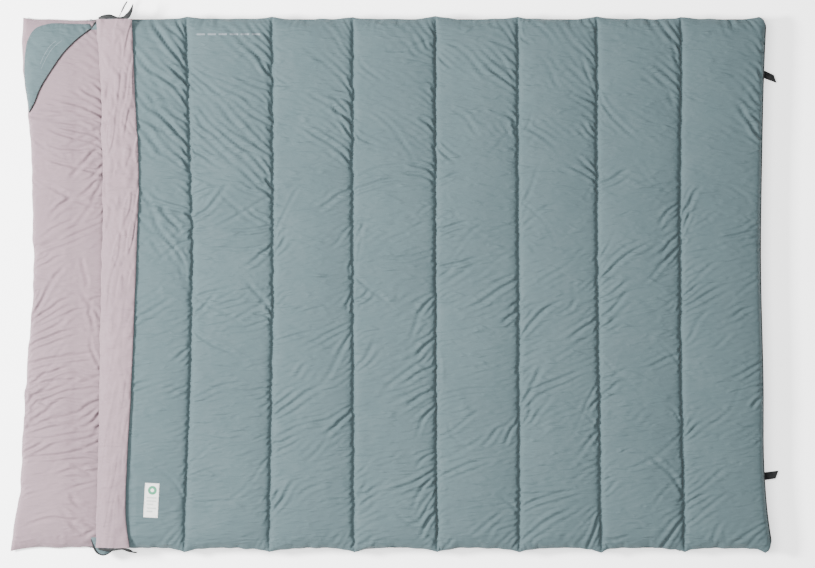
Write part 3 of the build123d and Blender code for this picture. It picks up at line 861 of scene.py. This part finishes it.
def zip_teeth(name, body, upper, tooth_pitch=0.0025):
    """The turns of a nylon coil, each reaching just past the middle between its neighbours on the other tape."""
    low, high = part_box(name)
    y = middle_of(name)[1]
    x = np.arange(low[0] + 0.0008, high[0] - 0.0008, tooth_pitch)
    x += tooth_pitch / 2 if upper else 0.0
    x = x[x < high[0]]
    reach = 0.0006
    z = (low[2] - reach + high[2]) / 2 if upper else (low[2] + high[2] + reach) / 2
    points, faces = capsule(high[2] - low[2] + reach, 0.0008)
    points = [(p[2], p[1] * 1.6, p[0]) for p in points]
    frames = np.repeat(np.eye(3)[None], len(x), axis=0)
    teeth = repeated(name.replace("zip_coil", "zip_teeth"), points, faces, columns(x, y, z), frames, COIL)
    ride(teeth, body, "zip_coil", name)


for side in SIDES:
    zip_band("base_tape_" + side, "base_quilt", "base_zip_tape_" + side)
    zip_band("cover_foot_tape_" + side, "base_quilt", "cover_foot_zip_tape_" + side)
    zip_band("cover_head_tape_" + side, "cover_head", "cover_head_zip_tape_" + side)
    zip_teeth("base_zip_coil_" + side, "base_quilt", False)
    zip_teeth("cover_foot_zip_coil_" + side, "base_quilt", True)
    zip_teeth("cover_head_zip_coil_" + side, "cover_head", True)


def cuff_band(side):
    """The loose end of the upper tape, standing out in a low curve past the cuff's end."""
    s = 1 if side == "left" else -1
    t = np.linspace(0, 1, 70)
    places = [0, 0.13, 0.30, 0.46, 0.58, 0.70, 0.85, 1]
    x = curve_through(t, places, [-0.9080, -0.8930, -0.8720, -0.8500, -0.8340, -0.8210, -0.8080, -0.8000])
    if side == "left":
        y = curve_through(t, places, [0.8170, 0.8215, 0.8235, 0.8180, 0.8165, 0.8205, 0.8375, 0.8620])
        half_width = np.interp(t, [0, 0.12, 0.30, 0.50, 0.62, 0.74, 0.88, 1],
                               [0.0030, 0.0055, 0.0062, 0.0030, 0.0060, 0.0082, 0.0052, 0.0010])
    else:
        y = curve_through(t, places, [0.8170, 0.8200, 0.8215, 0.8185, 0.8170, 0.8180, 0.8220, 0.8275])
        half_width = np.interp(t, [0, 0.30, 0.50, 0.85, 1], [0.0030, 0.0042, 0.0030, 0.0030, 0.0010])
    z = curve_through(t, places, [0.0800, 0.0850, 0.0880, 0.0920, 0.0930, 0.0930, 0.0900, 0.0860])
    path = columns(x, s * y, z)
    along = along_of(path)
    across = unit(np.cross(along, [0.0, 0.2 * s, 1.0]))
    strip = ribbon("cuff_tape_" + side, path, across * half_width[:, None], 0.0005 * np.cross(across, along), TAPE)
    ride(strip, "cuff", "zip_tape", "cuff_zip_tape_" + side)
    corner_flap(side, s)


def corner_flap(side, s):
    """The cover's bound corner under the cuff's tape."""
    outer = [0.790, 0.818, 0.8375, 0.834, 0.820] if side == "right" else [0.786, 0.802, 0.814, 0.817, 0.8155]
    tt, uu = np.meshgrid(np.linspace(0, 1, 40), np.linspace(0, 1, 14), indexing="ij")
    rng = np.random.default_rng(61)
    x = -0.932 + 0.070 * tt
    y = s * (0.784 + (curve_through(tt, [0, 0.14, 0.45, 0.75, 1], outer) - 0.784) * uu)
    z = curve_through(tt, [0, 0.25, 0.6, 1], [0.0520, 0.0560, 0.0605, 0.0600]) - 0.002 * uu ** 2
    z += 0.0007 * cloud(rng, x, y, 0.02)
    flap = grid_piece("cover_corner_flap_" + side, np.stack([x, y, z]), TEAL, s < 0)
    ride(flap, "cover_head", "teal_shell")
    radius = np.interp(tt[:, 0], [0, 0.15, 0.4, 1], [0.0016, 0.0036, 0.0026, 0.0016])
    edge = columns(x[:, -1], y[:, -1], z[:, -1])
    ride(tube("cover_corner_piping_" + side, edge, radius, WEBBING, 8), "cover_head", "zip_tape")


PULL_PIVOT = np.array([-0.850, 0.820, 0.037])  # where the left pull hangs on its slider


def soft_grip(side):
    """The ribbed, slightly curved grip moulded on the pull's cord."""
    s = 1 if side == "left" else -1
    angle = math.radians(62 if side == "left" else 12)
    pivot = PULL_PIVOT * (1, s, 1)
    forward = np.array([math.cos(angle), s * math.sin(angle), 0.0])
    sideways = np.array([-forward[1], forward[0], 0.0])
    run = np.linspace(0.0212, 0.0604, 90)
    t = (run - run[0]) / (run[-1] - run[0])
    bow = s * 0.0012 * np.sin(math.pi * t)
    path = pivot + run[:, None] * forward + bow[:, None] * sideways
    body = np.interp(t, [0, 0.05, 0.25, 0.8, 0.95, 1], [0.0012, 0.0021, 0.0025, 0.0024, 0.0019, 0.0006])
    ribs = 1 + 0.09 * np.clip(np.sin(run * 2 * math.pi / 0.0036), -0.3, 1) * ((t > 0.22) & (t < 0.85))
    made = tube("grip_" + side, path, body * ribs, GRIP, 16)
    ride(made, "pull_" + side, "grip_plastic", "pull_grip_" + side)


def draught_roll(side):
    """The stuffed roll inside the zip, creased where it is sewn in and pressed flat under the cuff."""
    s = 1 if side == "left" else -1
    low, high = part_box("draft_tube_" + side)
    (_, y, z), r = middle_of("draft_tube_" + side), (high[2] - low[2]) / 2
    x = np.linspace(low[0], high[0], 420)
    angle = np.linspace(0, 2 * math.pi, 28, endpoint=False)
    xx, aa = np.meshgrid(x, angle, indexing="ij")
    rng = np.random.default_rng(71 + s)
    to_end = np.minimum(xx - low[0], high[0] - xx)
    round_end = np.sqrt(np.clip(1 - (1 - np.clip(to_end / 0.012, 0, 1)) ** 2, 0.001, 1))
    creases = 0.0011 * cloud(rng, xx, r * np.cos(aa) * 1.4, 0.016, 1.2, 3)
    creases += 0.0008 * np.sin(xx * 2 * math.pi / 0.21)
    pressed = 0.45 + 0.55 * ease((xx - low[0] - 0.030) / 0.045)
    rr = (r - 0.0014 + np.clip(creases, -0.0016, 0.0012)) * round_end * pressed
    ring = np.stack([xx, y + rr * np.cos(aa), z - r * (1 - pressed) + rr * np.sin(aa)], axis=-1)
    made = ride(sweep("draught_roll_" + side, ring, PINK), "base_quilt", "pink_lining", "draft_tube_" + side)


for make in (cuff_band, soft_grip, draught_roll):
    for side in SIDES:
        make(side)


LOOP_WIDTH = 0.025


def web_loop(side, skew, drop):
    """A folded loop of webbing sewn into the foot seam, with its cross stitching at the root."""
    low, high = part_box("hanging_loop_" + side)
    _, y, z = middle_of("hanging_loop_" + side)
    half_gap = (high[2] - low[2]) / 2 - 0.0009
    length = high[0] - low[0] - drop
    t = np.linspace(0, 1, 60)
    angle = math.pi * np.clip((t - 0.42) / 0.16, 0, 1)
    out = np.where(t < 0.5, np.clip(t / 0.42, 0, 1), np.clip((1 - t) / 0.42, 0, 1)) * (length - half_gap)
    x = low[0] + out + half_gap * np.sin(angle)
    zz = z + half_gap * np.cos(angle) * ease(out / 0.012 + 0.25)
    share = (x - low[0]) / length
    path = columns(x, y + skew * share, zz)
    wide = columns(0.35 * LOOP_WIDTH / 2 * np.sign(skew) * share, LOOP_WIDTH / 2 - 0.0003, 0 * t)
    thick = 0.0008 * np.cross(along_of(path), [0.0, 1.0, 0.0])
    made = ribbon("hanging_webbing_" + side, path, wide, thick, WEBBING)
    ride(made, "loop_" + side, "webbing", "hanging_loop_" + side)
    sewn_z, across = z + half_gap * 0.55 + 0.0012, y + np.linspace(-0.010, 0.010, 11)
    lines = [columns(low[0] + step, across, sewn_z) for step in (0.0080, 0.0105)]
    made = stitches("hanging_stitching_" + side, lines, TEAL_THREAD, 0.0022, 0.0008, 0.0004)
    ride(made, "loop_" + side, "thread")


web_loop("left", -0.016, 0.006)
web_loop("right", 0.006, 0.0)
for name in ("zip_slider_left", "zip_pull_left", "zip_slider_right", "zip_pull_right", "zip_end_stops"):
    for material_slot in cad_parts[name].material_slots:
        material_slot.material = METAL


# ---------------------------------------------------------------- the corner pocket
MOUTH = [(-0.9320, 0.7900), (-0.9770, 0.7560), (-1.0140, 0.7190), (-1.0540, 0.6640), (-1.0920, 0.6020),
         (-1.1130, 0.5520), (-1.1260, 0.5300)]
CORNER = [(-0.9400, 0.8030), (-1.0000, 0.8040), (-1.0700, 0.8030), (-1.1080, 0.7880), (-1.1290, 0.7560),
          (-1.1380, 0.7150), (-1.1420, 0.6600), (-1.1390, 0.6100), (-1.1320, 0.5600), (-1.1280, 0.5320)]


def along_points(points, t):
    points = np.array(points)
    run = runs_of(points)
    return np.stack([curve_through(t, run / run[-1], points[:, k]) for k in range(2)])


def laid(x, y, lift):
    return np.stack([x, y, height_on(base_head, x, y) + lift])


def pocket():
    s = np.linspace(0, 1, 120)
    mouth, corner = along_points(MOUTH, s), along_points(CORNER, s)
    u = np.linspace(0, 1, 46)
    x = mouth[0][:, None] * (1 - u) + corner[0][:, None] * u
    y = mouth[1][:, None] * (1 - u) + corner[1][:, None] * u
    rng = np.random.default_rng(81)
    swell = np.sin(math.pi * u)[None, :] * np.sin(math.pi * s)[:, None] ** 0.6
    lift = 0.0026 + 0.0030 * swell + 0.0009 * swell * cloud(rng, x, y, 0.035, -0.9, 3)
    sheet = laid(x, y, lift)
    panel = ride(grid_piece("pocket_panel", sheet, TEAL, True), "base_quilt", "teal_shell", "corner_pocket")
    edge = laid(mouth[0], mouth[1], 0.0028).T
    ride(tube("pocket_mouth_piping", edge, 0.0022, WEBBING, 10), "base_quilt", "zip_tape", "pocket_piping")
    lines = []
    for share in (0.035, 0.97):
        k = int(share * 45)
        line = sheet[:, 3:-3, k].T.copy()
        line[:, 2] += 0.0004
        lines.append(line)
    ride(stitches("pocket_stitching", lines, TEAL_THREAD, 0.0030, 0.0014, 0.0004), "base_quilt", "thread")
    places, frames = [], []
    for k, step in ((4, 1), (-6, -1)):
        here, forward = edge[k], unit(edge[k + step] - edge[k])
        side = unit(np.cross(UP, forward))
        inward = side * np.sign(np.dot(side, [-1.0, 1.0, 0.0]))
        for n in range(14):
            places.append(here + inward * 0.004 + forward * 0.0008 * n + (0, 0, 0.0014))
            frames.append(np.stack([inward, forward, np.cross(inward, forward)]))
    points, faces = capsule(0.0036, 0.00045)
    tacks = repeated("pocket_bar_tack_threads", points, faces, places, frames, TEAL_THREAD)
    ride(tacks, "base_quilt", "thread", "pocket_bar_tacks")
    for k, (share, start, end) in enumerate(((0.30, 0.30, 0.62), (0.38, 0.34, 0.58))):
        row = int(share * 45)
        a, b = int(start * 119), int(end * 119)
        stripe = sheet[:, a:b, row:row + 2].copy()
        middle = stripe.mean(axis=2, keepdims=True)
        stripe = middle + (stripe - middle) * 0.5
        stripe[2] += 0.0005
        ride(grid_piece("pocket_plain_stripe_%d" % (k + 1), stripe, PALE_PRINT, True), "base_quilt", "teal_shell")


pocket()


# ---------------------------------------------------------------- the sewn label and the plain dashes
def patch_on_cover(name, centre, size, degrees, lift, material, cells=(20, 40)):
    """A small rectangle of cloth or print laid on the cover, turned."""
    u, v = np.meshgrid(np.linspace(-0.5, 0.5, cells[0]), np.linspace(-0.5, 0.5, cells[1]), indexing="ij")
    a = math.radians(degrees)
    x = centre[0] + u * size[0] * math.cos(a) - v * size[1] * math.sin(a)
    y = centre[1] + u * size[0] * math.sin(a) + v * size[1] * math.cos(a)
    return grid_piece(name, np.stack([x, y, height_on(cover_top, x, y) + lift]), material)


def disc_on_cover(name, centre, radius, lift, material):
    rings, sides = 6, 40
    angle = 2 * math.pi * np.arange(sides) / sides
    shares = np.arange(1, rings + 1)[:, None] / rings
    ring = np.stack([shares * np.cos(angle), shares * np.sin(angle)], axis=-1).reshape(-1, 2)
    points = radius * np.concatenate([[(0.0, 0.0)], ring]) + centre
    faces = []
    for k in range(sides):
        n = (k + 1) % sides
        faces.append((0, 1 + k, 1 + n))
        for r in range(1, rings * sides - sides, sides):
            faces.append((r + k, r + sides + k, r + sides + n, r + n))
    z = height_on(cover_top, points[:, 0], points[:, 1]) + lift
    return mesh_piece(name, np.column_stack([points, z]), faces, material)


LABEL_SIZE, LABEL_TURN = (0.044, 0.106), -3
label_at = middle_of("sewn_label")[:2]
label = patch_on_cover("label_cloth", label_at, LABEL_SIZE, LABEL_TURN, 0.0012, LABEL)
ride(label, "cover_head", "label_cloth", "sewn_label")
for name, radius, lift, finish in (("green_disc", 0.0136, 0.0016, GREEN), ("pale_dot", 0.0055, 0.0019, LABEL)):
    disc = disc_on_cover("label_" + name, label_at + (0.003, 0.031), radius, lift, finish)
    ride(disc, "cover_head", "label_cloth")
for k, (across, along, wide) in enumerate(((0.0, 0.008, 0.030), (0.0, -0.002, 0.030), (-0.004, -0.012, 0.020),
                                           (0.001, -0.024, 0.028), (-0.004, -0.034, 0.018))):
    centre = label_at + (across + along * 0.05, along)
    bar = patch_on_cover("label_bar_%d" % (k + 1), centre, (wide, 0.0042), LABEL_TURN, 0.0016, GREY_PRINT, (8, 3))
    ride(bar, "cover_head", "label_cloth")
turn = math.radians(LABEL_TURN)
corners = np.array([(-1, -1), (1, -1), (1, 1), (-1, 1), (-1, -1)]) * (0.0205, 0.0515)
turned = corners @ [[math.cos(turn), math.sin(turn)], [-math.sin(turn), math.cos(turn)]] + label_at
bx, by = (np.interp(np.linspace(0, 4, 160), range(5), part) for part in turned.T)
border = columns(bx, by, height_on(cover_top, bx, by) + 0.0016)
ride(stitches("label_stitching", [border], PINK_THREAD, 0.0028, 0.0012, 0.0004), "cover_head", "thread")
for k in range(6):
    centre = (-0.592 + 0.034 * k, 0.768)
    dash = patch_on_cover("plain_dash_%d" % (k + 1), centre, (0.026, 0.0055), 0, 0.0008, PALE_PRINT, (14, 4))
    ride(dash, "cover_head", "teal_shell")


# ---------------------------------------------------------------- floor, light and camera
def floor_finish():
    made = Finish("studio floor")
    tone = made.span(made.noise(3.0, 3, 0.5), 0.0, 1.0)
    return made.done(Base_Color=made.mixed(tone, (0.90, 0.90, 0.90, 1), (0.93, 0.93, 0.93, 1)), Roughness=0.9,
                     Emission_Color=(1, 1, 1, 1), Emission_Strength=1.25)


def area_light(name, place, aim, size, power, colour=(1, 1, 1)):
    data = bpy.data.lights.new(name, "AREA")
    data.energy = power
    data.size = size
    data.color = colour
    light = link(bpy.data.objects.new(name, data))
    light.location = place
    light.rotation_euler = (Vector(aim) - Vector(place)).to_track_quat("-Z", "Y").to_euler()
    return light


ground = [(-14, -14, 0), (14, -14, 0), (14, 14, 0), (-14, 14, 0)]
floor = mesh_piece("studio_floor", ground, [(0, 1, 2, 3)], floor_finish())
floor.location.z = -0.0004
world = bpy.data.worlds.new("studio")
bpy.context.scene.world = world
world.use_nodes = True
world.node_tree.nodes["Background"].inputs["Color"].default_value = (1.0, 1.0, 1.0, 1)
world.node_tree.nodes["Background"].inputs["Strength"].default_value = 0.42
area_light("key", (-4.2, 0.3, 3.4), (0.2, 0.0, 0.05), 1.0, 1050)
area_light("overhead", (-0.6, 0.1, 5.0), (0.0, 0.0, 0.0), 3.0, 420)
camera_data = bpy.data.cameras.new("camera")
camera = link(bpy.data.objects.new("camera", camera_data))
camera_data.sensor_width = 36
camera_data.lens = 172
camera_data.clip_end = 100
camera.location = (0.045, -0.0015, 12.08)
bpy.context.scene.camera = camera
